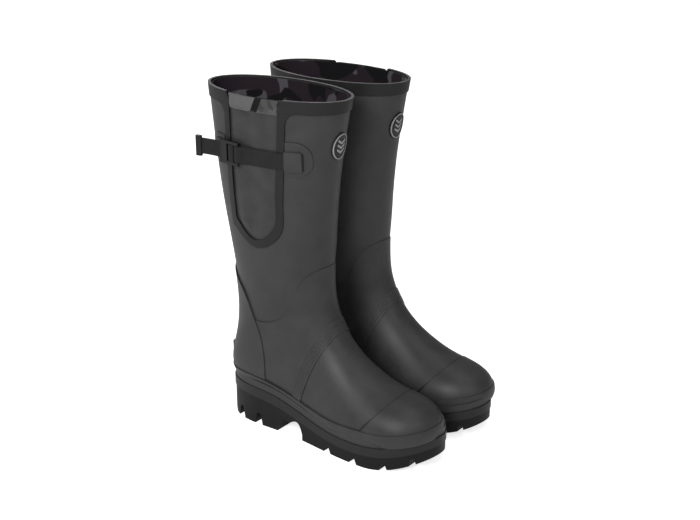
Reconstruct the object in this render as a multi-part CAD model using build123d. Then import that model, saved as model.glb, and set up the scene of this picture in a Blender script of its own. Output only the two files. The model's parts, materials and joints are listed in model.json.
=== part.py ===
from build123d import *
from functools import lru_cache
import math
import os

# A pair of tall rubber boots. One boot is built with its heel at the origin, its toe
# towards -Y and its outer side towards -X, and the other one is its mirror image.
# Side outlines are drawn as (forward, up) and plan outlines as (forward, outward).

# Whole pair
centre_spacing = 116.0
middle_forward = 131.5
rim_height = 424.0

# Thicknesses, and the clearance left between two layers
rubber = 2.0
overlay = 1.0
tape = 1.4
lining_thickness = 2.4
panel_thickness = 1.5
film = 0.1
foxing_thickness = 3.2
webbing = 1.5
insole_thickness = 5.0

# Webbing, strap and buckle
strap_height = 354.0
webbing_width = 20.0
buckle_width = 28.0
buckle_angle = 10.0
bar_radius = 1.5
bar_forward = 46.0
bar_outward = 54.8
joint_clearance = 0.35
tail_end = [(5, 47.8), (-8, 48.8), (-19, 50.8)]

# Stations of the upper, from the toe to the rim. Each one is a slanted section:
# its front or top point, its back or bottom point, how far it reaches outward and
# inward, and how foot-like it is (1 for a flat-bottomed foot, 0 for a round leg).
stations = [
    ((292, 39), (200, 28.5), 46, 43, 0.50),
    ((294, 52), (197, 28.5), 48, 45, 0.55),
    ((288, 64), (192, 28.5), 49, 45.5, 0.65),
    ((275.5, 73), (186, 29), 49, 45.5, 0.75),
    ((255, 79.5), (178, 29), 49, 45, 0.90),
    ((229, 86), (167, 30.5), 48.5, 44, 1.0),
    ((202, 98), (151, 33.5), 46, 41.5, 1.0),
    ((176.5, 116), (128, 38.5), 42.5, 38.5, 1.0),
    ((158, 138), (98, 45.5), 40, 37.5, 1.0),
    ((146, 163), (55, 50.5), 40.5, 38.5, 0.80),
    ((140.5, 189), (14, 50.5), 42.5, 41, 0.50),
    ((139, 214), (-1, 66), 45, 43.5, 0.25),
    ((139, 238), (5, 108), 48, 47.5, 0.05),
    ((140, 263), (8.5, 158), 50, 49.5, 0),
    ((142.5, 292), (0, 216), 50.5, 50, 0),
    ((147.5, 331), (-14.5, 285), 51, 50.5, 0),
    ((155.5, 376), (-26, 360), 51, 50.5, 0),
    ((165, 424), (-33.5, 424), 51, 50.5, 0),
]
points_per_station = 28
run_on = 14.0

side_plane = Plane((0, 0, 0), x_dir=(0, -1, 0), z_dir=(-1, 0, 0))
plan_plane = Plane((0, 0, 0), x_dir=(0, -1, 0), z_dir=(0, 0, -1))
front_plane = Plane((0, 0, 0), x_dir=(1, 0, 0), z_dir=(0, -1, 0))


def rounded(power, value):
    """Signed power, the building block of a rounded-square section."""
    return math.copysign(abs(value) ** (2 / power), value)


def section_wire(front, back, outward, inward, foot, offset):
    """One closed section of the upper, moved out by offset."""
    front_point = Vector(0, -front[0], front[1])
    back_point = Vector(0, -back[0], back[1])
    along = (front_point - back_point).normalized()
    length = (front_point - back_point).length
    middle = (0.5 - 0.16 * foot) * length
    back_power = 2 + 2 * foot
    front_power = 2.05
    points = []
    for step in range(points_per_station):
        angle = 2 * math.pi * step / points_per_station - math.pi / 2
        ahead = math.sin(angle) > 0
        power = front_power if ahead else back_power
        reach = (length - middle if ahead else middle) + offset
        half_width = (outward if math.cos(angle) > 0 else inward) + offset
        distance = middle + reach * rounded(power, math.sin(angle))
        side = half_width * rounded(power, math.cos(angle))
        points.append(back_point + along * distance + Vector(-side, 0, 0))
    knots = [step / points_per_station for step in range(points_per_station + 1)]
    return Wire([Edge.make_spline(points, periodic=True, parameters=knots)])


@lru_cache(maxsize=None)
def form(offset):
    """The upper's surface moved by offset, run on past the toe's underside and the rim."""
    below_toe = ((292, 39 - run_on), (200, 28.5 - run_on), 46, 43, 0.5)
    above_rim = ((168, rim_height + run_on), (-35, rim_height + run_on), 51, 50.5, 0)
    rows = [below_toe] + stations + [above_rim]
    return Solid.make_loft([section_wire(*row, offset) for row in rows])


def floor_region(lift):
    """Side region above the upper's underside, lifted."""
    start = (-100, -5.7 + lift)
    end = (340, 44.5 + lift)
    return make_face(Polyline(start, end, (340, 500), (-100, 500), close=True))


@lru_cache(maxsize=None)
def upper_body(offset, lift=0.0):
    """The solid inside the upper's surface moved by offset, cut off at the rim."""
    return form(offset) & side_cut(floor_region(lift)) & level_cut(-50, rim_height)


@lru_cache(maxsize=None)
def hollow(offset, lift):
    """The same, open at the rim: what is cut away to leave a skin."""
    return form(offset) & side_cut(floor_region(lift))


def skin(outer, inner, region):
    """The part of the skin between two offsets that lies inside a region tool."""
    block = form(outer) & region & level_cut(-50, rim_height)
    return block - form(inner)


def level_cut(low, high):
    """A tool that keeps what lies between two heights."""
    return Pos(0, 0, (low + high) / 2) * Box(400, 900, high - low)


def side_cut(outline, both=True):
    """A tool of the given side outline, right through the boot or only outward."""
    return extrude(side_plane * outline, amount=90, both=both)


def above(points):
    """Side region above a line of (forward, up) points."""
    edge = Spline(*points)
    rest = Polyline(edge @ 1, (points[-1][0], 460), (points[0][0], 460), edge @ 0)
    return make_face(edge + rest)


def below(points):
    """Side region below a line of (forward, up) points."""
    edge = Spline(*points)
    rest = Polyline(edge @ 1, (points[-1][0], -20), (points[0][0], -20), edge @ 0)
    return make_face(edge + rest)


def lowered(points, drop):
    return [(forward, up - drop) for forward, up in points]


# Sole: plan outline, and the lines between its layers seen from the side
sole_outline = [
    (-4.5, 0), (5, 25), (28, 37), (75, 40), (115, 41.5), (160, 47.5), (210, 52.5),
    (250, 48), (280, 28.5), (298, -7), (284, -35), (250, -49.5), (205, -50.5),
    (155, -42), (110, -35), (65, -36.5), (24, -34), (4, -22.5),
]
outsole_line = [(-10, 37), (60, 36.5), (90, 32), (120, 25), (155, 18.5), (190, 15.5),
                (225, 16.5), (253, 19.5), (278, 24.5), (310, 34)]
midsole_line = [(-10, 51), (40, 50.5), (70, 48.5), (100, 42.5), (137, 33.5),
                (165, 28.6), (195, 27), (225, 28.2), (253, 31.2), (278, 36), (310, 44)]
foxing_line = [(-20, 68), (20, 67.5), (50, 66), (100, 58), (137, 50), (175, 45.5),
               (217, 46), (253, 49), (278, 53), (310, 60)]
insole_line = [(-20, 62), (40, 61), (70, 58.5), (98, 54.5), (128, 48.5), (165, 41.5),
               (200, 39.5), (240, 43), (280, 48), (310, 54)]
welt_inset = 1.2
wall_height = 9
heel_breast = 85
tread_start = 126
tread_end = 228
toe_spring = 18
heel_notches = [24, 55]
tread_grooves = [(169, 11), (209.5, 11), (250, 9), (279, 6)]
notch_height = 15
notch_width = 12
groove_height = 7
channel_width = 12
channel_depth = 4

# Overlays of the foot, seen from the side
galosh_line = [(-30, 160), (38, 151), (56, 147), (79, 147), (95, 155), (107, 171),
               (121, 205), (129, 214), (150, 222)]
toe_cap_line = [(252, 95), (243, 78), (231, 63), (214, 40)]
stay_line = [(-20, 215), (16, 195), (42, 178), (58, 152), (67, 120), (67, 60)]
band_front = [(163, 148), (147, 116), (136.5, 89), (123, 50)]
band_rear = [(150, 156), (137, 135), (124, 111), (117, 87), (110, 50)]

# Gusset: the opening in the leg, and the tape around it
gusset_rear = 25
gusset_front = 101
gusset_bottom = 248
gusset_round = 58
gusset_lean = 3
gusset_flare = 8
tape_half = 4.6
tape_bottom = 410
corner_radius = 14
rim_corner = 11
panel_top = 419
panel_depth = 0.6
hem_bottom = 407
hem_top = 420.5
badge_width = 27
badge_length = 33
badge_height = 369.5


def strip_region(front_line, rear_line):
    """Side region between two lines that run down side by side."""
    front_edge = Spline(*front_line)
    rear_edge = Spline(*rear_line)
    ends = Line(front_edge @ 0, rear_edge @ 0) + Line(front_edge @ 1, rear_edge @ 1)
    return make_face(front_edge + rear_edge + ends)


def gusset_region(grow):
    """U-shaped side region of the gusset, grown by a margin and open past the rim."""
    top = rim_height + 2 * run_on
    rear = gusset_rear - grow
    front = gusset_front + grow
    bottom = gusset_bottom - grow
    half = (front - rear) / 2
    centre = (front + rear) / 2 + gusset_lean
    start = bottom + gusset_round
    across = 0.80
    down = 0.70
    curve = Spline(
        (front, start), (centre + half * across, start - gusset_round * down), (centre, bottom),
        (centre - half * across, start - gusset_round * down), (rear + gusset_lean, start),
        tangents=[(0, -1), (-0.1, 1)],
    )
    level = rim_height - rim_corner
    radius = rim_corner - grow
    turn = radius * math.sqrt(0.5)
    back_side = rear + gusset_lean * 0.2
    front_side = front + gusset_flare * 0.75
    back_centre = back_side - radius
    front_centre = front_side + radius
    sides = Polyline(curve @ 1, (back_side, level))
    sides += ThreePointArc((back_side, level), (back_centre + turn, level + turn), (back_centre, level + radius))
    sides += Polyline((back_centre, level + radius), (back_centre, top), (front_centre, top),
                      (front_centre, level + radius))
    sides += ThreePointArc((front_centre, level + radius), (front_centre - turn, level + turn), (front_side, level))
    sides += Line((front_side, level), curve @ 0)
    return make_face(curve + sides)


def sole_block(inset=0.0):
    """Upright block of the sole's plan outline, drawn in by a margin."""
    length = max(forward for forward, outward in sole_outline)
    width = max(outward for forward, outward in sole_outline) * 2
    shrink_length = 1 - 2 * inset / length
    shrink_width = 1 - 2 * inset / width
    points = [(inset + forward * shrink_length, outward * shrink_width) for forward, outward in sole_outline]
    outline = make_face(Spline(*points, periodic=True))
    return extrude(plan_plane * outline, amount=100, both=True)


def ground_region():
    """Side region under the outsole: the arch, the toe spring and every notch."""
    arch = Spline(
        (heel_breast, 0), (heel_breast + 7, 16), (104, 17.5), (tread_start, 8),
        tangents=[(0.5, 1), (0.3, -1)],
    )
    arch_space = make_face(arch + Polyline(arch @ 1, (tread_start, 0), arch @ 0))
    spring = Spline((tread_end, 0), (262, 5), (298, toe_spring), (312, 26))
    spring_space = make_face(spring + Polyline(spring @ 1, (312, 0), spring @ 0))
    back = Polyline((-4, 14), (10, 0), (-4, 0), close=True)
    return [arch_space, spring_space, make_face(back)]


def notch(forward, width, height, base):
    """Tapered side notch between two lugs."""
    outline = Polyline(
        (forward - width / 2, base - 20), (forward - width / 2, base),
        (forward - width / 4, base + height), (forward + width / 4, base + height),
        (forward + width / 2, base), (forward + width / 2, base - 20), close=True,
    )
    return make_face(outline)


def spring_height(forward):
    """How far the toe spring has lifted the sole at a place."""
    ahead = max(0.0, forward - tread_end)
    return toe_spring * (ahead / (298 - tread_end)) ** 1.45


def make_outsole():
    solid = sole_block(1.0) & side_cut(below(lowered(outsole_line, film)))
    solid = solid & side_cut(Pos(150, 50) * Rectangle(400, 100))
    for region in ground_region():
        solid = solid - side_cut(region)
    centre = Box(2 * channel_width, 700, 200)
    for forward in heel_notches:
        solid = solid - (side_cut(notch(forward, notch_width, notch_height, 0)) - centre)
    for forward, width in tread_grooves:
        solid = solid - side_cut(notch(forward, width, groove_height, spring_height(forward)))
    for first, last in ((12, heel_breast - 10), (tread_start + 8, tread_end + 10)):
        channel = Box(channel_width, last - first, 2 * channel_depth)
        solid = solid - Pos(0, -(first + last) / 2, 0) * channel
    return solid


def board_space(inset, forward, rear, top, thickness):
    """A plate that follows the midsole's top, for a board or a shank."""
    line = lowered(midsole_line, top)
    plate = sole_block(inset) & side_cut(below(line)) & side_cut(above(lowered(line, thickness)))
    return plate & Pos(0, -(forward + rear) / 2, 0) * Box(200, forward - rear, 300)


def make_insole_board():
    return board_space(13, 262, 10, 1.0, 2.0) - upper_body(film)


def make_shank():
    return board_space(13, 165, 45, 3.4, 1.6) & Box(15, 800, 300)


def make_midsole():
    solid = sole_block() & side_cut(above(outsole_line)) & side_cut(below(lowered(midsole_line, film)))
    solid = solid - board_space(12.6, 262.4, 9.6, 0.0, 3.2)
    solid = solid - (board_space(12.6, 165.4, 44.6, 3.1, 2.2) & Box(16, 800, 300))
    return solid - upper_body(film)


def above_foxing():
    return side_cut(above(lowered(foxing_line, -film)))


def make_foxing():
    region = side_cut(above(midsole_line)) & side_cut(below(foxing_line))
    wall = sole_block(welt_inset) & side_cut(below(lowered(midsole_line, -wall_height)))
    wall = wall & side_cut(above(midsole_line))
    return skin(foxing_thickness, film, region) + (wall - form(film))


def make_shell():
    whole = upper_body(0) - hollow(-rubber, rubber)
    return whole - side_cut(gusset_region(0), both=False)


def make_lining():
    outer = rubber + film
    inner = outer + lining_thickness
    return upper_body(-outer, outer) - hollow(-inner, inner)


def make_insole():
    reach = rubber + lining_thickness + 3 * film
    body = upper_body(-reach, reach)
    return body & side_cut(below(insole_line))


def make_galosh():
    region = side_cut(below(galosh_line)) + Pos(0, -230, 100) * Box(180, 162, 300)
    return skin(film + overlay, film, region & above_foxing())


def second_skin(region):
    first = 2 * film + overlay
    return skin(first + overlay, first, region & above_foxing())


def make_toe_cap():
    edge = Spline(*toe_cap_line)
    region = make_face(edge + Polyline(edge @ 1, (330, 40), (330, 95), edge @ 0))
    return second_skin(side_cut(region))


def make_instep_band():
    return second_skin(side_cut(strip_region(band_front, band_rear)))


def make_heel_stay():
    edge = Spline(*stay_line)
    region = side_cut(make_face(edge + Polyline(edge @ 1, (-20, 60), edge @ 0))) & above_foxing()
    stay = skin(2 * film + 2 * overlay, film, region)
    under = side_cut(below(lowered(galosh_line, -film))) & form(2 * film + overlay)
    return stay - under


def make_kick_spur():
    outline = Polyline((-11, 86), (-11, 79), (-4, 72), (30, 70), (30, 95), (-3, 93), close=True)
    width = Box(38, 200, 400)
    rounding = Pos(0, -14, 0) * Cylinder(24.5, 400)
    block = side_cut(make_face(outline)) & width & rounding
    return block - form(3 * film + 2 * overlay)


def make_rim_binding():
    outside = form(film + tape) & level_cut(tape_bottom, rim_height + tape)
    channel = outside - form(-rubber - film)
    core = form(film) & level_cut(tape_bottom - 10, rim_height + film)
    return channel - core - side_cut(gusset_region(-tape_half), both=False)


def make_gusset_binding():
    rim_strip = Pos(70, tape_bottom + 20) * Rectangle(260, 40)
    outline = gusset_region(tape_half) + rim_strip
    corners = outline.vertices().filter_by_position(Axis.Y, tape_bottom - 1, tape_bottom + 1)
    corners = corners.filter_by_position(Axis.X, 0, 130)
    outline = fillet(corners, corner_radius)
    outline = outline - gusset_region(-tape_half)
    region = side_cut(outline, both=False) & level_cut(0, tape_bottom - film)
    return skin(film + tape, film, region)


def make_gusset_panel():
    region = side_cut(gusset_region(-1.5 * film), both=False) & level_cut(0, panel_top)
    return skin(-panel_depth, -panel_depth - panel_thickness, region)


def make_gusset_hem():
    region = side_cut(gusset_region(-tape_half - film), both=False)
    return skin(panel_depth - film, film - panel_depth, region & level_cut(hem_bottom, hem_top))


def leg_side(forward, rise):
    """How far outward the leg reaches at the strap's height, plus a rise."""
    ray = Axis((0, -forward, strap_height), (-1, 0, 0))
    hits = form(0).find_intersection_points(ray)
    return max(-point.X for point, normal in hits) + rise


def buckle_point(along, proud):
    """Plan place of a point along the buckle from its front bar, and proud of it."""
    lean = math.radians(buckle_angle)
    forward = bar_forward - along * math.cos(lean) - proud * math.sin(lean)
    outward = bar_outward - along * math.sin(lean) + proud * math.cos(lean)
    return (forward, outward)


def standing(face, width):
    """A plan outline made into a strip of the given width at the strap's height."""
    block = extrude(plan_plane * face, amount=width / 2, both=True)
    return Pos(0, 0, strap_height) * block


def ribbon(points, width=webbing_width, thickness=webbing):
    return standing(trace(Spline(*points), thickness), width)


def front_route():
    joint = (bar_forward, bar_outward)
    start = [(forward, leg_side(forward, rise)) for forward, rise in ((130, 1.8), (120, 2.3), (112, 2.9), (101, 3.0))]
    taut = [(start[-1][0] * (1 - part) + joint[0] * part, start[-1][1] * (1 - part) + joint[1] * part)
            for part in (0.33, 0.66, 0.93)]
    return start + taut


def rear_route():
    start = [(forward, leg_side(forward, rise)) for forward, rise in ((4, 1.9), (11, 2.4), (17.5, 3.1))]
    return start + [buckle_point(*place) for place in ((24.5, -2.5), (21, -2.5), (17.5, -2.45), (14, -2.45))]


def turn_route():
    places = [(13.2, -2.6), (11, -2.6), (8.5, -2.6), (6, -1.9), (4.9, 0), (6.3, 2.4), (9.5, 3.1), (12.3, 2.3),
              (13.6, 0.6), (15.4, -0.6)]
    return [buckle_point(*place) for place in places]


def tail_route():
    return [buckle_point(16, -0.6), buckle_point(22, -0.6), buckle_point(28, -0.6)] + tail_end


def make_strap():
    eye = Pos(bar_forward, bar_outward) * Circle(bar_radius + joint_clearance + webbing)
    root = front_route()[-2]
    fold = Polyline(
        (bar_forward, bar_outward + 3.3), (root[0], root[1] + webbing / 2),
        (root[0], root[1] - webbing / 2), (bar_forward, bar_outward - 3.3), close=True,
    )
    hole = Pos(bar_forward, bar_outward) * Circle(bar_radius + joint_clearance)
    end = standing(eye + make_face(fold) - hole, webbing_width)
    band = ribbon(front_route()) - standing(hole, 40)
    return band + end


def make_rear_strap():
    return ribbon(rear_route())


def make_strap_turn():
    return ribbon(turn_route())


def make_strap_tail():
    return ribbon(tail_route())


def make_tail_clip():
    last, end = tail_end[-2:]
    angle = math.degrees(math.atan2(end[1] - last[1], end[0] - last[0]))
    place = Pos(end[0] * 0.85 + last[0] * 0.15, end[1] * 0.85 + last[1] * 0.15) * Rot(0, 0, angle)
    block = standing(place * RectangleRounded(8, 4.2, 1.2), 25)
    return block - ribbon(tail_route(), webbing_width + film, webbing + film)


def make_buckle():
    bar = Pos(bar_forward, bar_outward) * Circle(bar_radius)
    middle = make_face(Polyline(*[buckle_point(*place) for place in
                                  ((8, -0.9), (11.3, -0.9), (11.3, 1.4), (8, 1.4))], close=True))
    lip = make_face(Polyline(*[buckle_point(*place) for place in
                               ((16.5, 0.5), (26, 0.5), (29, 1.2), (28.6, 3.0), (25.5, 2.4), (16.5, 2.4))],
                             close=True))
    rail = make_face(Polyline(*[buckle_point(*place) for place in
                                ((-2.4, -1), (-1.2, -2), (17, -2), (24, 0.5), (24, 2.3), (17, 2.4),
                                 (-1.2, 2), (-2.4, 1))], close=True))
    gap = webbing_width + 1
    rails = standing(rail, buckle_width) - standing(rail, gap)
    bars = standing(bar, buckle_width - 1) + standing(middle, buckle_width - 1)
    return rails + bars + standing(lip, buckle_width)


def patch(outline, route, bump_outline):
    """A rubber patch vulcanised over a strap end, raised where the strap runs in."""
    flat = skin(film + 1.3, film, side_cut(outline, both=False))
    raised = skin(4.0, film, side_cut(bump_outline, both=False))
    return flat + raised - ribbon(route, webbing_width + film, webbing + film)


def make_front_patch():
    outline = Pos(124, 356.5) * Rectangle(28, 41)
    outline = fillet(outline.vertices().group_by(Axis.X)[-1], 17)
    bump = Pos(119.5, strap_height) * RectangleRounded(19, webbing_width + 4, 2)
    return patch(outline, front_route(), bump)


def make_rear_patch():
    outline = Pos(5, 353.5) * Rectangle(29, 35)
    outline = fillet(outline.vertices().group_by(Axis.X)[0], 12)
    bump = Pos(11, strap_height) * RectangleRounded(17, webbing_width + 4, 2)
    return patch(outline, rear_route(), bump)


def front_cut(face):
    return extrude(front_plane * face, amount=260)


def make_badge_plate():
    oval = Pos(0, badge_height) * Ellipse(badge_width / 2, badge_length / 2)
    return skin(film + 1.2, film, front_cut(oval))


def make_badge_emblem():
    oval = Ellipse(badge_width / 2 - 1, badge_length / 2 - 1)
    ring = oval - Ellipse(badge_width / 2 - 2.1, badge_length / 2 - 2.1)
    face = ring
    for drop in (5.5, 0, -5.5):
        bar = Polyline((-6, -drop + 1), (0, -drop - 3), (6, -drop + 1), (6, -drop + 3.4),
                       (0, -drop - 0.6), (-6, -drop + 3.4), close=True)
        face = face + make_face(bar)
    return skin(2 * film + 2.0, 2 * film + 1.2, front_cut(Pos(0, badge_height) * face))


makers = {
    "outsole": make_outsole,
    "midsole": make_midsole,
    "foxing": make_foxing,
    "shank": make_shank,
    "insole_board": make_insole_board,
    "insole": make_insole,
    "shell": make_shell,
    "lining": make_lining,
    "galosh": make_galosh,
    "toe_cap": make_toe_cap,
    "instep_band": make_instep_band,
    "heel_stay": make_heel_stay,
    "kick_spur": make_kick_spur,
    "rim_binding": make_rim_binding,
    "gusset_binding": make_gusset_binding,
    "gusset_panel": make_gusset_panel,
    "gusset_hem": make_gusset_hem,
    "front_strap": make_strap,
    "front_strap_patch": make_front_patch,
    "rear_strap": make_rear_strap,
    "rear_strap_patch": make_rear_patch,
    "strap_turn": make_strap_turn,
    "strap_tail": make_strap_tail,
    "tail_clip": make_tail_clip,
    "buckle": make_buckle,
    "badge_plate": make_badge_plate,
    "badge_emblem": make_badge_emblem,
}


def main():
    os.makedirs("parts", exist_ok=True)
    for name, make in makers.items():
        right = Pos(-centre_spacing / 2, middle_forward, 0) * make()
        export_step(right, f"parts/right_{name}.step")
        export_step(mirror(right, about=Plane.YZ), f"parts/left_{name}.step")
        print(name)


main()
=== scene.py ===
import json
import math
import bmesh
import bpy
import numpy as np
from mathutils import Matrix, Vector
from mathutils.bvhtree import BVHTree


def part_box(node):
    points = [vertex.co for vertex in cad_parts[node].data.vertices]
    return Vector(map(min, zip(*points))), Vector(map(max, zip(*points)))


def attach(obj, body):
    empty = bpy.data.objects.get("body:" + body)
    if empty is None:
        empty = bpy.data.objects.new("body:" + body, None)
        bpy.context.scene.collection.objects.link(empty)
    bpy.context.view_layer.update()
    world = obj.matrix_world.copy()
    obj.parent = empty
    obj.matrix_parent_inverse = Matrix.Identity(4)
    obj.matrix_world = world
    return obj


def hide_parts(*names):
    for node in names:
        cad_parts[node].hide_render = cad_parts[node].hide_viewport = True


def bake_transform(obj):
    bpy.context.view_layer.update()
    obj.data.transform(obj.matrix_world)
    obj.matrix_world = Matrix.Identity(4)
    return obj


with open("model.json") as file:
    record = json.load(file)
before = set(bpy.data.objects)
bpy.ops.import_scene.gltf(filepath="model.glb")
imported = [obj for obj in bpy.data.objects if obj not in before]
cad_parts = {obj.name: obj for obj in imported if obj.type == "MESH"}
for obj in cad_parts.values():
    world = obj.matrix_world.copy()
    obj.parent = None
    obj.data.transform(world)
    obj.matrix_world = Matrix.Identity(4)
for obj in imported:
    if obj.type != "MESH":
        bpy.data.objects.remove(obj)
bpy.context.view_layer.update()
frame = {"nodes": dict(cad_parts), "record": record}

sides = {"right": -1, "left": 1}      # the way each boot's outer side faces along X
numberSocket = "NodeSocketFloat"
vectorSocket = "NodeSocketVector"


# shader groups: each effect is built once and placed in the materials that need it
def newGroup(name, inputs, outputs):
    group = bpy.data.node_groups.new(name, "ShaderNodeTree")
    for label, kind, value in inputs:
        socket = group.interface.new_socket(label, in_out="INPUT", socket_type=kind)
        socket.default_value = value
    for label, kind in outputs:
        group.interface.new_socket(label, in_out="OUTPUT", socket_type=kind)
    return group, group.nodes.new("NodeGroupInput"), group.nodes.new("NodeGroupOutput")


def addNode(tree, kind, links=None, **settings):
    node = tree.nodes.new(kind)
    for name, value in settings.items():
        setattr(node, name, value)
    for socket, source in (links or {}).items():
        if isinstance(source, bpy.types.NodeSocket):
            tree.links.new(source, node.inputs[socket])
        else:
            node.inputs[socket].default_value = source
    return node


def maths(tree, operation, first, second=0.0, third=None):
    links = {0: first, 1: second}
    if third is not None:
        links[2] = third
    return addNode(tree, "ShaderNodeMath", links, operation=operation).outputs[0]


def mixed(tree, factor, first, second):
    node = tree.nodes.new("ShaderNodeMix")
    node.data_type = "RGBA"
    for slotNumber, source in ((0, factor), (6, first), (7, second)):
        if isinstance(source, bpy.types.NodeSocket):
            tree.links.new(source, node.inputs[slotNumber])
        else:
            node.inputs[slotNumber].default_value = source
    return node.outputs[2]


def noise(tree, vector, scale, detail=3.0, roughness=0.5):
    node = addNode(tree, "ShaderNodeTexNoise", {"Scale": scale, "Detail": detail, "Roughness": roughness})
    tree.links.new(vector, node.inputs["Vector"])
    return node.outputs[0]


def ramp(tree, value, low, high, start=0.0, end=1.0):
    node = addNode(tree, "ShaderNodeMapRange", {0: value, 1: low, 2: high, 3: start, 4: end}, clamp=True)
    return node.outputs[0]


def grainGroup():
    # soft mould grain of hand-laid rubber: a fine pebble over slow unevenness
    group, start, end = newGroup("rubberGrain",
        [("Vector", vectorSocket, (0, 0, 0)), ("Fine", numberSocket, 1400.0), ("Slow", numberSocket, 45.0)],
        [("Height", numberSocket), ("Patch", numberSocket)])
    vector = start.outputs["Vector"]
    fine = noise(group, vector, start.outputs["Fine"], 2.0)
    slow = noise(group, vector, start.outputs["Slow"], 3.0)
    height = maths(group, "MULTIPLY_ADD", fine, 0.35, slow)
    group.links.new(height, end.inputs["Height"])
    group.links.new(slow, end.inputs["Patch"])
    return group


def camoGroup():
    # broken cloth patches: pale and dark ones, each a threshold over its own warped slow noise
    group, start, end = newGroup("camoPatches",
        [("Vector", vectorSocket, (0, 0, 0)), ("Scale", numberSocket, 30.0)],
        [("Light", numberSocket), ("Dark", numberSocket), ("Cloth", numberSocket)])
    vector = start.outputs["Vector"]
    for label, offset, low in (("Light", (0.31, 0.12, 0.4), 0.57), ("Dark", (0.05, 0.5, 0.21), 0.54)):
        shifted = addNode(group, "ShaderNodeVectorMath", {0: vector, 1: offset}, operation="ADD").outputs[0]
        patches = noise(group, shifted, start.outputs["Scale"], 1.5, 0.45)
        patches.node.inputs["Distortion"].default_value = 0.6
        group.links.new(ramp(group, patches, low, low + 0.012), end.inputs[label])
    fibre = noise(group, vector, 2600.0, 2.0)
    group.links.new(fibre, end.inputs["Cloth"])
    return group


def weaveGroup():
    # woven webbing: ribs across the tape, yarns along it; the second output is painted shade, darker in the
    # weave's valleys and lighter on its raised yarns
    group, start, end = newGroup("weave",
        [("Along", numberSocket, 0.0), ("Across", numberSocket, 0.0),
            ("Rib", numberSocket, 0.0017), ("Yarn", numberSocket, 0.0013)],
        [("Height", numberSocket), ("PaintedShade", numberSocket)])
    waves = []
    for label, size in (("Along", "Rib"), ("Across", "Yarn")):
        turns = maths(group, "DIVIDE", start.outputs[label], start.outputs[size])
        waves.append(maths(group, "SINE", maths(group, "MULTIPLY", turns, 2 * math.pi)))
    checks = maths(group, "MULTIPLY", waves[0], waves[1])
    height = maths(group, "MULTIPLY_ADD", waves[0], 0.6, checks)
    group.links.new(height, end.inputs["Height"])
    group.links.new(ramp(group, height, -1.6, 1.6), end.inputs["PaintedShade"])
    return group


groups = {"grain": grainGroup(), "camo": camoGroup(), "weave": weaveGroup()}


def placeGroup(tree, name, **inputs):
    node = tree.nodes.new("ShaderNodeGroup")
    node.node_tree = groups[name]
    for label, value in inputs.items():
        if isinstance(value, bpy.types.NodeSocket):
            tree.links.new(value, node.inputs[label])
        else:
            node.inputs[label].default_value = value
    return node


def newMaterial(name):
    material = bpy.data.materials.new(name)
    material.use_nodes = True
    tree = material.node_tree
    shader = tree.nodes["Principled BSDF"]
    place = tree.nodes.new("ShaderNodeTexCoord").outputs["Object"]
    return material, tree, shader, place


def grey(level, warm=0.0):
    return (level * (1 + warm), level, level * (1 - warm), 1)


def addBump(tree, shader, height, strength, distance):
    bump = addNode(tree, "ShaderNodeBump", {"Strength": strength, "Distance": distance, "Height": height})
    tree.links.new(bump.outputs[0], shader.inputs["Normal"])


def rubberMaterial(name, level, roughness, warm=0.0, depth=0.00012, patchShare=0.12, gloss=0.3):
    material, tree, shader, place = newMaterial(name)
    grain = placeGroup(tree, "grain", Vector=place)
    shade = ramp(tree, grain.outputs["Patch"], 0.3, 0.7)
    darker, paler = grey(level * (1 - patchShare), warm), grey(level * (1 + patchShare), warm)
    colour = mixed(tree, shade, darker, paler)
    tree.links.new(colour, shader.inputs["Base Color"])
    rough = ramp(tree, grain.outputs["Patch"], 0.25, 0.75, roughness - 0.05, roughness + 0.06)
    tree.links.new(rough, shader.inputs["Roughness"])
    addBump(tree, shader, grain.outputs["Height"], 0.6, depth)
    shader.inputs["Specular IOR Level"].default_value = gloss
    return material


def capMaterial(name, level, shadeLine):
    # rubber with a painted shade line along the groove at the cap's rear edge
    material = rubberMaterial(name, level, 0.46)
    tree = material.node_tree
    shader = tree.nodes["Principled BSDF"]
    place = tree.nodes.new("ShaderNodeTexCoord").outputs["Object"]
    split = addNode(tree, "ShaderNodeSeparateXYZ", {0: place})
    forward = maths(tree, "SUBTRACT", shadeLine["middle"] - shadeLine["start"], split.outputs[1])
    rise = maths(tree, "SUBTRACT", split.outputs[2], shadeLine["bottom"])
    across = maths(tree, "MULTIPLY_ADD", rise, -shadeLine["slope"], forward)
    first = shader.inputs["Base Color"].links[0].from_socket
    # painted shade: darker within this width of the cap's rear edge
    line = ramp(tree, across, shadeLine["width"], shadeLine["width"] * 2.2)
    tree.links.new(mixed(tree, line, grey(shadeLine["level"]), first), shader.inputs["Base Color"])
    return material


def tapeWithLipHighlight(name, level, edge):
    # binding tape with a painted highlight: paler on its upward-facing lip at the rim, where light from above
    # falls
    material = rubberMaterial(name, level, 0.48, 0.01)
    tree = material.node_tree
    shader = tree.nodes["Principled BSDF"]
    place = tree.nodes.new("ShaderNodeTexCoord").outputs["Object"]
    height = addNode(tree, "ShaderNodeSeparateXYZ", {0: place}).outputs[2]
    # painted highlight: the tape is paler above this height
    highlightMask = ramp(tree, height, edge["low"], edge["high"])
    first = shader.inputs["Base Color"].links[0].from_socket
    tree.links.new(mixed(tree, highlightMask, first, grey(edge["level"])), shader.inputs["Base Color"])
    return material


def clothMaterial(name, tones, scale, roughness=0.85):
    material, tree, shader, place = newMaterial(name)
    camo = placeGroup(tree, "camo", Vector=place, Scale=scale)
    colour = mixed(tree, camo.outputs["Light"], tones["base"], tones["light"])
    colour = mixed(tree, camo.outputs["Dark"], colour, tones["dark"])
    tree.links.new(colour, shader.inputs["Base Color"])
    addBump(tree, shader, camo.outputs["Cloth"], 0.5, 0.0003)
    shader.inputs["Roughness"].default_value = roughness
    shader.inputs["Specular IOR Level"].default_value = 0.2
    return material


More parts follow.
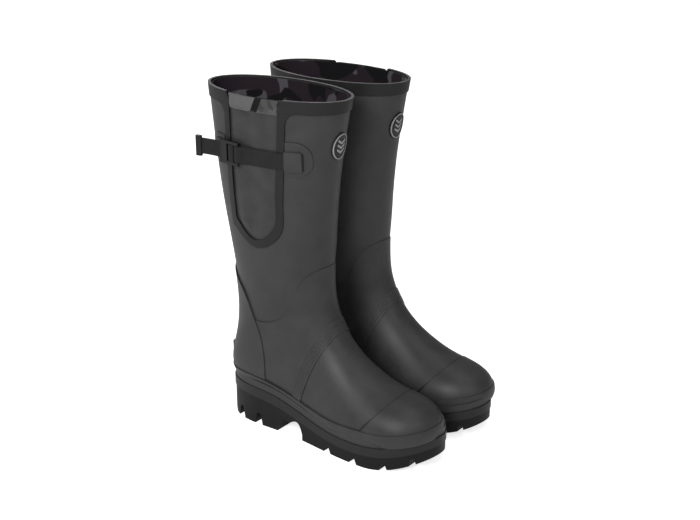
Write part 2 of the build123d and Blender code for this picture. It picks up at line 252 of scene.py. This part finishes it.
def hemMaterial(name, marks):
    # the cloth's print as it falls on the fold: pale behind a slanting black patch, darker before it
    material = clothMaterial(name, hemTones, 70.0)
    tree = material.node_tree
    shader = tree.nodes["Principled BSDF"]
    flat = addNode(tree, "ShaderNodeUVMap", uv_map="flat")
    split = addNode(tree, "ShaderNodeSeparateXYZ", {0: flat.outputs[0]})
    rise = maths(tree, "SUBTRACT", split.outputs[1], marks["middle"])
    lean = maths(tree, "MULTIPLY", rise, marks["slant"])
    across = maths(tree, "SUBTRACT", maths(tree, "ADD", split.outputs[0], lean), marks["patch"])
    first = shader.inputs["Base Color"].links[0].from_socket
    colour = mixed(tree, ramp(tree, across, 0.0, marks["paleBlur"]), first, grey(marks["paleLevel"]))
    half = marks["half"]
    edge = ramp(tree, maths(tree, "ABSOLUTE", across), half, half + marks["patchBlur"], 1.0, 0.0)
    tree.links.new(mixed(tree, edge, colour, grey(marks["patchLevel"])), shader.inputs["Base Color"])
    return material


def webbingMaterial(name, level):
    material, tree, shader, place = newMaterial(name)
    flat = addNode(tree, "ShaderNodeUVMap", uv_map="flat")
    split = addNode(tree, "ShaderNodeSeparateXYZ", {0: flat.outputs[0]})
    weave = placeGroup(tree, "weave", Along=split.outputs[0], Across=split.outputs[1])
    slow = noise(tree, place, 60.0, 3.0)
    # painted shade from the weave's relief, over a slow random tone
    shade = maths(tree, "MULTIPLY_ADD", slow, 0.5, weave.outputs["PaintedShade"])
    colour = mixed(tree, ramp(tree, shade, 0.1, 1.3), grey(level * 0.5), grey(level * 1.7))
    tree.links.new(colour, shader.inputs["Base Color"])
    addBump(tree, shader, weave.outputs["Height"], 0.9, 0.00025)
    shader.inputs["Roughness"].default_value = 0.75
    shader.inputs["Specular IOR Level"].default_value = 0.3
    return material


hemPrint = {"patch": 0.0585, "half": 0.0046, "slant": 0.55, "middle": 0.414, "paleLevel": 0.1,
    "paleBlur": 0.0005, "patchLevel": 0.004, "patchBlur": 0.0004}
hemTones = {"base": grey(0.06), "light": grey(0.08), "dark": grey(0.04)}
liningTones = {"base": (0.017, 0.011, 0.016, 1), "light": (0.07, 0.066, 0.074, 1),
    "dark": (0.004, 0.004, 0.005, 1)}
insoleTones = {"base": (0.03, 0.03, 0.032, 1), "light": (0.05, 0.05, 0.052, 1), "dark": (0.02, 0.02, 0.02, 1)}
# painted shade along the toe cap's rear edge: the cap's middle, the edge's start, foot and slope, the line's
# width and its dark level
capEdgeShade = {"middle": 0.1315, "start": 0.214, "bottom": 0.04, "slope": 0.73, "width": 0.0013, "level": 0.006}
# painted highlight on the binding's upward-facing lip: the heights it fades in over and its paler level
rimLipHighlight = {"low": 0.4247, "high": 0.4252, "level": 0.03}

materials = {
    "boot_rubber": rubberMaterial("bootRubber", 0.034, 0.46),
    "sole_rubber": rubberMaterial("soleRubber", 0.005, 0.5, gloss=0.22),
    "midsole_rubber": rubberMaterial("midsoleRubber", 0.013, 0.45),
    "tape": tapeWithLipHighlight("bindingTape", 0.009, rimLipHighlight),
    "gusset_fabric": rubberMaterial("gussetPanel", 0.031, 0.45, patchShare=0.22),
    "hem_fabric": hemMaterial("hemCloth", hemPrint),
    "webbing": webbingMaterial("webbing", 0.011),
    "buckle_plastic": rubberMaterial("bucklePlastic", 0.007, 0.36, depth=0.00004),
    "badge_rubber": rubberMaterial("badgeRubber", 0.008, 0.4),
    "badge_ink": rubberMaterial("badgeInk", 0.3, 0.45),
    "lining_fabric": clothMaterial("liningCloth", liningTones, 22.0, 0.9),
    "insole_foam": clothMaterial("insoleCloth", insoleTones, 90.0, 0.9),
    "board": rubberMaterial("lastingBoard", 0.2, 0.8),
    "shank_steel": rubberMaterial("shankSteel", 0.4, 0.4),
    "thread": rubberMaterial("thread", 0.02, 0.7),
}
capRubber = capMaterial("capRubber", 0.034, capEdgeShade)
for part in frame["record"]["subparts"]:
    node = frame["nodes"][part["node"]]
    node.data.materials.clear()
    isCap = part["node"].endswith("_toe_cap")
    node.data.materials.append(capRubber if isCap else materials[part["material_slot"]])
print("materials placed")

boot = {"centre": 0.058, "middle": 0.1315}      # each boot's middle across and along, in metres


def place(side, forward, outward, up):
    # the world point, in metres, of a boot point given in millimetres
    return (sides[side] * (boot["centre"] + outward / 1000), boot["middle"] - forward / 1000, up / 1000)


def makePiece(name, points, faces, body, nodes, slotName, flat=None, crease=40):
    # a closed mesh, its faces turned outward, riding on a body and standing for its CAD nodes
    mesh = bpy.data.meshes.new(name)
    mesh.from_pydata([tuple(point) for point in points], [], [tuple(face) for face in faces])
    if flat is not None:
        layer = mesh.uv_layers.new(name="flat")
        for loop in mesh.loops:
            layer.data[loop.index].uv = flat[loop.vertex_index]
    edit = bmesh.new()
    edit.from_mesh(mesh)
    bmesh.ops.recalc_face_normals(edit, faces=edit.faces)
    edit.to_mesh(mesh)
    edit.free()
    mesh.polygons.foreach_set("use_smooth", [True] * len(mesh.polygons))
    mesh.set_sharp_from_angle(angle=math.radians(crease))
    mesh.materials.append(materials[slotName])
    piece = bpy.data.objects.new(name, mesh)
    bpy.context.scene.collection.objects.link(piece)
    if nodes:
        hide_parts(*nodes)
    if body:
        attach(piece, body)
    return piece


def surfaceOf(nodeName):
    node = frame["nodes"][nodeName]
    corners = [node.matrix_world @ vertex.co for vertex in node.data.vertices]
    return BVHTree.FromPolygons(corners, [polygon.vertices[:] for polygon in node.data.polygons])


def smoothPath(points, step):
    # points about a step apart along a smooth line through the given ones
    given = np.array(points, float)
    ends = np.vstack([2 * given[0] - given[1], given, 2 * given[-1] - given[-2]])
    line = []
    for index in range(len(given) - 1):
        before, start, end, after = ends[index:index + 4]
        count = max(2, int(np.linalg.norm(end - start) / step))
        for part in np.arange(count) / count:
            line.append(0.5 * (2 * start + (end - before) * part
                + (2 * before - 5 * start + 4 * end - after) * part ** 2
                + (3 * start - before - 3 * end + after) * part ** 3))
    line.append(given[-1])
    return np.array(line)


# webbing: a flat woven band with thick selvedges, swept along a line in plan
def webbingBand(name, side, route, body, nodes, settings):
    line = smoothPath(route, settings["step"])
    ahead = np.gradient(line, axis=0)
    ahead /= np.linalg.norm(ahead, axis=1)[:, None]
    outwards = np.stack([-ahead[:, 1], ahead[:, 0]], axis=1)
    half, thick = settings["width"] / 2, settings["thickness"] / 2
    flatShare, selvedge = settings["flatShare"], settings["selvedge"]
    profile = []
    for part in np.linspace(-1, 1, settings["columns"]):
        edge = max(0.0, (abs(part) - flatShare) / selvedge)
        roll = math.sqrt(max(0.0, 1 - edge ** 4))
        profile.append((part * half, thick * (flatShare + selvedge * min(1, edge * 3)) * roll))
    ring = [(up, out) for up, out in profile] + [(up, -out) for up, out in reversed(profile[1:-1])]
    lengths = np.concatenate([[0], np.cumsum(np.linalg.norm(np.diff(line, axis=0), axis=1))])
    points, flat, faces = [], [], []
    count = len(ring)
    for index, centre in enumerate(line):
        for up, out in ring:
            spot = centre + outwards[index] * out
            points.append(place(side, spot[0], spot[1], settings["height"] + up))
            flat.append((lengths[index] / 1000, up / 1000))
    for index in range(len(line) - 1):
        for turn in range(count):
            after = (turn + 1) % count
            faces.append((index * count + turn, index * count + after,
                (index + 1) * count + after, (index + 1) * count + turn))
    faces.append(tuple(range(count)))
    faces.append(tuple(range((len(line) - 1) * count, len(line) * count)))
    return makePiece(name, points, faces, body, nodes, "webbing", flat, 50)


# millimetres; the band is flat over flatShare of its width and thicker along each selvedge
bandSettings = {"width": 20, "thickness": 1.5, "columns": 25, "step": 0.7, "height": 354,
    "flatShare": 0.86, "selvedge": 0.14}
buckleSettings = {"lean": 10, "forward": 46, "outward": 54.8}
routes = {
    "front": [(130, 36.4), (120, 42.48), (112, 46.39), (101, 49.86), (82.9, 51.49), (64.7, 53.12),
        (55, 54.2), (51, 55.4), (48.2, 56.9), (45.6, 57.35), (43.6, 55.9), (43.5, 53.7), (45.2, 52.3),
        (47.6, 52.6), (51.5, 53.2)],
    "rear": [(4, 39.37), (11, 43.17), (17.5, 46.39)],
    "through": [(24.5, -2.5), (21, -2.5), (17.5, -2.45), (14, -2.45), (11, -2.6), (8.5, -2.6), (6, -1.9),
        (4.9, 0), (6.3, 2.4), (9.5, 3.1), (12.3, 2.3), (13.6, 0.6), (15.4, -0.6)],
    "tail": [(16, -0.6), (22, -0.6), (28, -0.6)],
    "tailEnd": [(5, 47.8), (-8, 48.8), (-19, 50.8)],
}


# the boot's forward and outward place of a point given along the buckle and proud of it
def buckleAt(along, proud):
    lean = math.radians(buckleSettings["lean"])
    return (buckleSettings["forward"] - along * math.cos(lean) - proud * math.sin(lean),
        buckleSettings["outward"] - along * math.sin(lean) + proud * math.cos(lean))


for side in sides:
    body = side + "_boot"
    webbingBand(side + "FrontStrap", side, routes["front"], body, [side + "_front_strap"], bandSettings)
    rear = routes["rear"] + [buckleAt(*spot) for spot in routes["through"]]
    nodes = [side + "_rear_strap", side + "_strap_turn"]
    looped = webbingBand(side + "RearStrap", side, rear, None, nodes, bandSettings)
    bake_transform(looped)
    tail = [buckleAt(*spot) for spot in routes["tail"]] + routes["tailEnd"]
    webbingBand(side + "StrapTail", side, tail, side + "_strap_tail", [side + "_strap_tail"], bandSettings)
print("webbing made")


castFrom = 0.6      # metres: rays start this far out, beyond any boot


# a sheet cast onto the outside of a CAD node: a grid of rays, given thickness and moved by a push
def castSheet(name, nodeName, side, body, slotName, settings, push):
    low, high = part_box(nodeName)
    surface = surfaceOf(nodeName)
    axis = settings["axis"]
    others = [number for number in range(3) if number != axis]
    direction = Vector((0, 0, 0))
    direction[axis] = -settings["facing"] if axis == 2 else -sides[side]
    counts = [max(2, int((high[number] - low[number]) / settings["step"])) for number in others]
    margin = settings["margin"]
    first = np.linspace(low[others[0]] + margin, high[others[0]] - margin, counts[0])
    second = np.linspace(low[others[1]] + margin, high[others[1]] - margin, counts[1])
    hit = np.zeros((counts[0], counts[1]), bool)
    spots = np.zeros((counts[0], counts[1], 3))
    for i, one in enumerate(first):
        for j, two in enumerate(second):
            origin = Vector((0, 0, 0))
            origin[others[0]], origin[others[1]] = one, two
            origin[axis] = -direction[axis] * castFrom
            found = surface.ray_cast(origin, direction)[0]
            if found is not None:
                hit[i, j] = True
                spots[i, j] = found
    # how far each point is from the sheet's edge, in steps
    inside = np.pad(hit, 1)
    distance = np.zeros(inside.shape)
    current = inside.copy()
    while current.any():
        distance += current
        beside = [np.roll(current, shift, way) for shift in (1, -1) for way in (0, 1)]
        current = np.logical_and.reduce([current] + beside)
    distance = distance[1:-1, 1:-1]
    numbers, points, flat = {}, [], []
    outward = -np.array(direction)
    for layer in (0, 1):
        for i in range(counts[0]):
            for j in range(counts[1]):
                if not hit[i, j]:
                    continue
                numbers[(layer, i, j)] = len(points)
                lift = push(i / (counts[0] - 1), j / (counts[1] - 1), distance[i, j] * settings["step"])
                depth = lift - (settings["thickness"] if layer else 0)
                rise = np.array((0, 0, settings.get("rise", 0) * j / (counts[1] - 1)))
                points.append(spots[i, j] + outward * depth + rise)
                flat.append((first[i], second[j]))
    faces, edges = [], {}
    for i in range(counts[0] - 1):
        for j in range(counts[1] - 1):
            cell = [(i, j), (i + 1, j), (i + 1, j + 1), (i, j + 1)]
            if not all(hit[corner] for corner in cell):
                continue
            faces.append([numbers[(0, *corner)] for corner in cell])
            faces.append([numbers[(1, *corner)] for corner in reversed(cell)])
            for start, end in zip(cell, cell[1:] + cell[:1]):
                key = frozenset((start, end))
                edges[key] = None if key in edges else (start, end)
    for edge in edges.values():
        if edge:
            start, end = edge
            faces.append([numbers[(0, *end)], numbers[(0, *start)], numbers[(1, *start)], numbers[(1, *end)]])
    used = sorted({number for face in faces for number in face})
    renumbered = {old: new for new, old in enumerate(used)}
    faces = [[renumbered[number] for number in face] for face in faces]
    return makePiece(name, [points[old] for old in used], faces, body, [nodeName], slotName,
        [flat[old] for old in used], settings["crease"])


# held and free are the widths under the tape and from there to the full bulge; a wave is its height,
# its radians over the panel's height and over its width, and its start; places are shares of height or width
panelSettings = {"axis": 0, "step": 0.0016, "margin": 0.0004, "thickness": 0.0013, "crease": 60,
    "puff": 0.003, "held": 0.0052, "free": 0.014, "strapAt": 0.62, "strapReach": 0.09, "pressed": 0.0004,
    "waves": ((0.55, 7.0, 3.1, 0.0), (0.45, -5.0, 11.0, 0.8)),
    "pleats": (0.8, 0.87), "pleat": 0.0006, "pleatReach": 0.011, "pleatFrom": 0.72, "pleatFade": 0.06}


def panelPush(one, two, distance):
    # slack cloth between the tapes: shallow bulges, flat under the tape and under the strap
    held = panelSettings["held"]
    share = min(1, max(0, (distance - held) / panelSettings["free"]))
    share = share * share * (3 - 2 * share)
    strap = math.exp(-((two - panelSettings["strapAt"]) / panelSettings["strapReach"]) ** 2)
    waves = sum(tall * math.sin(up * two + along * one + start)
        for tall, up, along, start in panelSettings["waves"])
    reach = panelSettings["pleatReach"]
    pleats = sum(math.exp(-((one - spot) / reach) ** 2) for spot in panelSettings["pleats"])
    fade = min(1, max(0, (two - panelSettings["pleatFrom"]) / panelSettings["pleatFade"]))
    pleats *= panelSettings["pleat"] * fade * min(1, distance / held)
    bulge = panelSettings["puff"] * share * (0.3 + 0.7 * waves) * (1 - 0.9 * strap)
    return bulge + pleats - panelSettings["pressed"] * strap * share


hemSettings = {"axis": 0, "step": 0.0009, "margin": 0.0002, "thickness": 0.0023, "rise": 0.0034, "crease": 60,
    "puff": 0.0007, "stitchAt": 0.16, "stitchReach": 0.07, "drawn": 0.7, "ripple": 0.12, "ripples": 23}


def hemPush(one, two, distance):
    # a soft fold: full at the top, drawn in at the stitch line near its lower edge
    fold = math.sin(math.pi * min(1, max(0.0, two * 0.96 + 0.04)) ** 0.6)
    stitch = math.exp(-((two - hemSettings["stitchAt"]) / hemSettings["stitchReach"]) ** 2)
    ripple = hemSettings["ripple"] * math.sin(hemSettings["ripples"] * one)
    return hemSettings["puff"] * (fold - hemSettings["drawn"] * stitch + ripple)


insoleSettings = {"axis": 2, "facing": 1, "step": 0.002, "margin": 0.0006, "thickness": 0.0035, "crease": 60,
    "rim": 0.0012, "rimReach": 0.006, "hollow": 0.0006}


def insolePush(one, two, distance):
    # the edge stands up a little round a shallow heel and forefoot hollow
    edge = math.exp(-(distance / insoleSettings["rimReach"]) ** 2)
    hollow = insoleSettings["hollow"] * math.sin(math.pi * two) ** 2
    return insoleSettings["rim"] * edge * 0.5 - hollow


for side in sides:
    body = side + "_boot"
    castSheet(side + "GussetPanel", side + "_gusset_panel", side, body, "gusset_fabric",
        panelSettings, panelPush)
    castSheet(side + "GussetHem", side + "_gusset_hem", side, body, "hem_fabric", hemSettings, hemPush)
    insole = castSheet(side + "Insole", side + "_insole", side, body, "insole_foam",
        insoleSettings, insolePush)
print("gusset and insole made")


# lining: a cloth sock inside the boot, cast outward from a line up the middle of it
liningSettings = {"sections": 110, "turns": 84, "thickness": 0.0016, "wave": 0.00025, "rim": 0.424,
    "top": 0.0004, "highest": 423.6, "gap": 0.0002, "toe": 0.012, "toeWall": 0.0018, "smoothed": 6}
liningLine = [(64, 424), (65, 360), (70, 290), (71, 225), (75, 182), (83, 150), (100, 118), (130, 93),
    (165, 78), (205, 65), (240, 60), (266, 61)]      # forward and up, in millimetres


def makeLining(side):
    surface = surfaceOf(side + "_lining")
    line = smoothPath(liningLine, 1.0)
    lengths = np.concatenate([[0], np.cumsum(np.linalg.norm(np.diff(line, axis=0), axis=1))])
    wanted = np.linspace(0, lengths[-1], liningSettings["sections"])
    line = np.stack([np.interp(wanted, lengths, line[:, axis]) for axis in (0, 1)], axis=1)
    ahead = np.gradient(line, axis=0)
    for repeat in range(liningSettings["smoothed"]):
        ahead[1:-1] = (ahead[:-2] + 2 * ahead[1:-1] + ahead[2:]) / 4
    ahead[0] = (0, -1)
    ahead /= np.linalg.norm(ahead, axis=1)[:, None]
    rows, turns = len(line), liningSettings["turns"]
    grids = np.zeros((2, rows, turns, 3))
    for row in range(rows):
        forward, up = line[row]
        start = Vector(place(side, forward, 0, min(up, liningSettings["highest"])))
        across = Vector((1, 0, 0))
        steep = Vector((0, ahead[row][1], ahead[row][0]))
        for turn in range(turns):
            angle = 2 * math.pi * turn / turns
            ray = across * math.cos(angle) + steep * math.sin(angle)
            found = surface.ray_cast(start, ray)[0]
            if found is None:
                found = Vector(grids[0][row - 1][turn])
            slack = math.sin(5 * angle + row * 0.31) + math.sin(3 * angle - row * 0.17)
            wave = liningSettings["wave"] * slack
            grids[0][row][turn] = found - ray * (liningSettings["gap"] + max(0, wave))
            grids[1][row][turn] = found + ray * liningSettings["thickness"]
    for layer in (0, 1):
        grids[layer][0][:, 2] = liningSettings["rim"] - liningSettings["top"]
    points = [tuple(point) for layer in grids for row in layer for point in row]
    faces = []
    size = rows * turns
    for layer in (0, 1):
        for row in range(rows - 1):
            for turn in range(turns):
                after = (turn + 1) % turns
                corner = layer * size + row * turns
                faces.append((corner + turn, corner + after, corner + turns + after, corner + turns + turn))
        last = [layer * size + (rows - 1) * turns + turn for turn in range(turns)]
        middle = np.mean([points[number] for number in last], axis=0)
        middle[1] -= liningSettings["toe"] + liningSettings["toeWall"] * layer
        points.append(tuple(middle))
        for turn in range(turns):
            faces.append((last[turn], last[(turn + 1) % turns], len(points) - 1))
    for turn in range(turns):
        after = (turn + 1) % turns
        faces.append((turn, after, size + after, size + turn))
    makePiece(side + "Lining", points, faces, side + "_boot", [side + "_lining"], "lining_fabric", crease=60)


for side in sides:
    makeLining(side)
print("linings made")


# instep band: raised rubber lines that run over the foot from side to side, beside each other
ridgeSettings = {"places": (-5.4, -1.8, 1.8, 5.4), "low": 57, "high": 150, "top": 24, "step": 2.0,
    "radius": 0.00075, "sunk": 0.00025, "sides": 8, "above": 200, "beside": 90, "lean": 0.57,
    "start": 111.8, "slope": -0.004, "bend": 0.00196, "smoothed": 3, "taper": 3}


def ridgeForward(up):
    return ridgeSettings["start"] + ridgeSettings["slope"] * up + ridgeSettings["bend"] * up * up


def ridgePoints(side, surface, offset):
    low, high, step = ridgeSettings["low"], ridgeSettings["high"], ridgeSettings["step"]
    flanks = {}
    for face in (1, -1):
        ray = Vector((-sides[side] * face, 0, 0))
        flanks[face] = []
        for up in np.arange(low, high, step):
            start = Vector(place(side, ridgeForward(up) + offset, ridgeSettings["beside"] * face, up))
            found, normal = surface.ray_cast(start, ray)[:2]
            if found is None or abs(found.x - sides[side] * boot["centre"]) < ridgeSettings["top"] / 1000:
                break
            flanks[face].append((found, normal))
    crown = []
    lean = ridgeSettings["lean"]
    ray = Vector((0, lean, -1)).normalized()
    above = ridgeSettings["above"]
    reach = ridgeForward(high) + offset + lean * (above - high)
    for outward in np.arange(ridgeSettings["top"] - 1, -ridgeSettings["top"], -step):
        found, normal = surface.ray_cast(Vector(place(side, reach, outward, above)), ray)[:2]
        if found is not None:
            crown.append((found, normal))
    return flanks[1] + crown + flanks[-1][::-1]


def makeRidge(side, surface, number, offset):
    found = ridgePoints(side, surface, offset)
    line = np.array([spot for spot, normal in found])
    ups = np.array([normal for spot, normal in found])
    for repeat in range(ridgeSettings["smoothed"]):
        for rows in (line, ups):
            rows[1:-1] = (rows[:-2] + 2 * rows[1:-1] + rows[2:]) / 4
    ups /= np.linalg.norm(ups, axis=1)[:, None]
    ahead = np.gradient(line, axis=0)
    across = np.cross(ahead, ups)
    across /= np.linalg.norm(across, axis=1)[:, None]
    count = ridgeSettings["sides"]
    points, faces = [], []
    for index in range(len(line)):
        taper = min(1, (min(index, len(line) - 1 - index) + 0.5) / ridgeSettings["taper"])
        radius = ridgeSettings["radius"] * taper
        for turn in range(count):
            angle = 2 * math.pi * turn / count
            rise = radius * math.cos(angle) - ridgeSettings["sunk"]
            points.append(line[index] + ups[index] * rise + across[index] * radius * math.sin(angle))
    for index in range(len(line) - 1):
        for turn in range(count):
            after = (turn + 1) % count
            faces.append((index * count + turn, index * count + after,
                (index + 1) * count + after, (index + 1) * count + turn))
    faces.append(tuple(range(count)))
    faces.append(tuple(range((len(line) - 1) * count, len(line) * count)))
    name = f"{side}InstepRidge{number}"
    ridge = makePiece(name, points, faces, side + "_boot", [], "boot_rubber", crease=70)


for side in sides:
    surface = surfaceOf(side + "_instep_band")
    for number, offset in enumerate(ridgeSettings["places"]):
        makeRidge(side, surface, number, offset)
print("instep ridges made")


threadSize = {"Length": 0.0023, "Thickness": 0.0006}


# stitching: one short thread on each point of a row, turned along the row
def stitchTree():
    tree = bpy.data.node_groups.new("stitchRow", "GeometryNodeTree")
    tree.interface.new_socket("Geometry", in_out="INPUT", socket_type="NodeSocketGeometry")
    for label, value in threadSize.items():
        socket = tree.interface.new_socket(label, in_out="INPUT", socket_type=numberSocket)
        socket.default_value = value
    tree.interface.new_socket("Material", in_out="INPUT", socket_type="NodeSocketMaterial")
    tree.interface.new_socket("Geometry", in_out="OUTPUT", socket_type="NodeSocketGeometry")
    start = tree.nodes.new("NodeGroupInput")
    end = tree.nodes.new("NodeGroupOutput")
    points = addNode(tree, "GeometryNodeMeshToPoints", {"Mesh": start.outputs["Geometry"]})
    thread = addNode(tree, "GeometryNodeMeshUVSphere", {"Segments": 8, "Rings": 6, "Radius": 0.5})
    scale = addNode(tree, "ShaderNodeCombineXYZ", {0: start.outputs["Length"], 1: start.outputs["Thickness"],
        2: start.outputs["Thickness"]})
    along = addNode(tree, "GeometryNodeInputNamedAttribute", {"Name": "along"}, data_type="FLOAT_VECTOR")
    aligned = addNode(tree, "FunctionNodeAlignRotationToVector", {"Vector": along.outputs[0]}, axis="X")
    copies = addNode(tree, "GeometryNodeInstanceOnPoints", {"Points": points.outputs[0],
        "Instance": thread.outputs[0], "Rotation": aligned.outputs[0], "Scale": scale.outputs[0]})
    whole = addNode(tree, "GeometryNodeRealizeInstances", {0: copies.outputs[0]})
    shaded = addNode(tree, "GeometryNodeSetShadeSmooth", {0: whole.outputs[0]})
    painted = addNode(tree, "GeometryNodeSetMaterial",
        {0: shaded.outputs[0], "Material": start.outputs["Material"]})
    tree.links.new(painted.outputs[0], end.inputs[0])
    return tree


stitches = stitchTree()


def stitchRow(name, points, body):
    given = np.array(points)
    along = np.gradient(given, axis=0)
    mesh = bpy.data.meshes.new(name + "Row")
    mesh.from_pydata([tuple(point) for point in given], [], [])
    layer = mesh.attributes.new("along", "FLOAT_VECTOR", "POINT")
    layer.data.foreach_set("vector", along.ravel())
    row = bpy.data.objects.new(name + "Row", mesh)
    bpy.context.scene.collection.objects.link(row)
    modifier = row.modifiers.new("stitches", "NODES")
    modifier.node_group = stitches
    values = dict(threadSize, Material=materials["thread"])
    for item in stitches.interface.items_tree:
        if item.in_out == "INPUT" and item.name in values:
            modifier[item.identifier] = values[item.name]
    graph = bpy.context.evaluated_depsgraph_get()
    made = bpy.data.meshes.new_from_object(row.evaluated_get(graph))
    made.name = name
    bpy.data.objects.remove(row)
    piece = bpy.data.objects.new(name, made)
    bpy.context.scene.collection.objects.link(piece)
    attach(piece, body)


# the box of stitches through the front strap's eye, in millimetres, and the row along the hem, in metres
eyeStitches = {"long": (53.5, 68, 3.1), "edges": (-7.6, 7.6), "ends": (53.5, 67.4),
    "across": (-4.6, -1.6, 1.6, 4.6), "beside": 90}
hemStitches = {"margin": 0.003, "pitch": 0.0031, "up": 0.0022, "beside": 0.3}
threadLift = 0.0001


def castInwards(surface, side, start):
    # the spot on a surface reached from outside the boot, lifted a little off it, or None
    found = surface.ray_cast(Vector(start), Vector((-sides[side], 0, 0)))[0]
    return found if found is None else found + Vector((sides[side] * threadLift, 0, 0))


for side in sides:
    surface = surfaceOf(side + "_front_strap")
    rows = [[(forward, up) for forward in np.arange(*eyeStitches["long"])] for up in eyeStitches["edges"]]
    rows += [[(forward, up) for up in eyeStitches["across"]] for forward in eyeStitches["ends"]]
    for number, row in enumerate(rows):
        beside, height = eyeStitches["beside"], bandSettings["height"]
        spots = [place(side, forward, beside, height + up) for forward, up in row]
        found = [castInwards(surface, side, spot) for spot in spots]
        stitchRow(f"{side}StrapStitch{number}", found, side + "_boot")
    surface = surfaceOf(side + "_gusset_hem")
    low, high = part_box(side + "_gusset_hem")
    margin = hemStitches["margin"]
    places = np.arange(low[1] + margin, high[1] - margin, hemStitches["pitch"])
    start = sides[side] * hemStitches["beside"]
    found = [castInwards(surface, side, (start, spot, low[2] + hemStitches["up"])) for spot in places]
    stitchRow(side + "HemStitch", [spot for spot in found if spot is not None], side + "_boot")
print("stitching made")


backdrop = {"light": 0.19, "seen": 1.1, "glow": 0.1, "seenGlow": 0.75, "half": 4, "floor": 0.9,
    "floorRoughness": 0.9}
lamps = {      # place, size and power of each soft light
    "key": ((-2.4, -0.4, 1.8), 1.0, 50),
    "fill": ((-1.7, 1.5, 1.4), 1.2, 12),
    "front": ((-0.9, -2.4, 2.1), 0.9, 14),
    "top": ((0.3, -0.5, 2.8), 1.6, 14),
    "back": ((1.6, 1.8, 1.6), 1.4, 12),
}
lampsAim = (0, 0, 0.2)


def studio():
    scene = bpy.context.scene
    world = bpy.data.worlds.new("studio")
    scene.world = world
    world.use_nodes = True
    tree = world.node_tree
    back = tree.nodes["Background"]
    back.inputs[0].default_value = (1, 1, 1, 1)
    seen = tree.nodes.new("ShaderNodeLightPath").outputs["Is Camera Ray"]
    tree.links.new(ramp(tree, seen, 0.0, 1.0, backdrop["light"], backdrop["seen"]), back.inputs[1])
    floorMesh = bpy.data.meshes.new("floor")
    half = backdrop["half"]
    corners = [(-half, -half, 0), (half, -half, 0), (half, half, 0), (-half, half, 0)]
    floorMesh.from_pydata(corners, [], [(0, 1, 2, 3)])
    floor = bpy.data.objects.new("floor", floorMesh)
    scene.collection.objects.link(floor)
    material, tree, shader = newMaterial("floorPaper")[:3]
    shader.inputs["Base Color"].default_value = grey(backdrop["floor"])
    shader.inputs["Roughness"].default_value = backdrop["floorRoughness"]
    shader.inputs["Emission Color"].default_value = (1, 1, 1, 1)
    seen = tree.nodes.new("ShaderNodeLightPath").outputs["Is Camera Ray"]
    glow = ramp(tree, seen, 0.0, 1.0, backdrop["glow"], backdrop["seenGlow"])
    tree.links.new(glow, shader.inputs["Emission Strength"])
    floorMesh.materials.append(material)
    for name, (spot, size, power) in lamps.items():
        light = bpy.data.lights.new(name, "AREA")
        light.size = size
        light.energy = power
        lamp = bpy.data.objects.new(name, light)
        lamp.location = spot
        lamp.rotation_euler = (Vector(lampsAim) - Vector(spot)).to_track_quat("-Z", "Y").to_euler()
        scene.collection.objects.link(lamp)


view = {"eye": (-1.2102, -0.8823, 0.7695), "look": (0.755, 0.554, -0.351), "lens": 66.93, "sensor": 36}


def placeCamera():
    # the boots are seen from the front and the right boot's outer side, from a little above
    camera = bpy.data.cameras.new("camera")
    camera.lens = view["lens"]
    camera.sensor_width = view["sensor"]
    holder = bpy.data.objects.new("camera", camera)
    holder.location = view["eye"]
    holder.rotation_euler = Vector(view["look"]).to_track_quat("-Z", "Y").to_euler()
    bpy.context.scene.collection.objects.link(holder)
    bpy.context.scene.camera = holder
    bpy.context.scene.view_settings.view_transform = "Standard"


studio()
placeCamera()
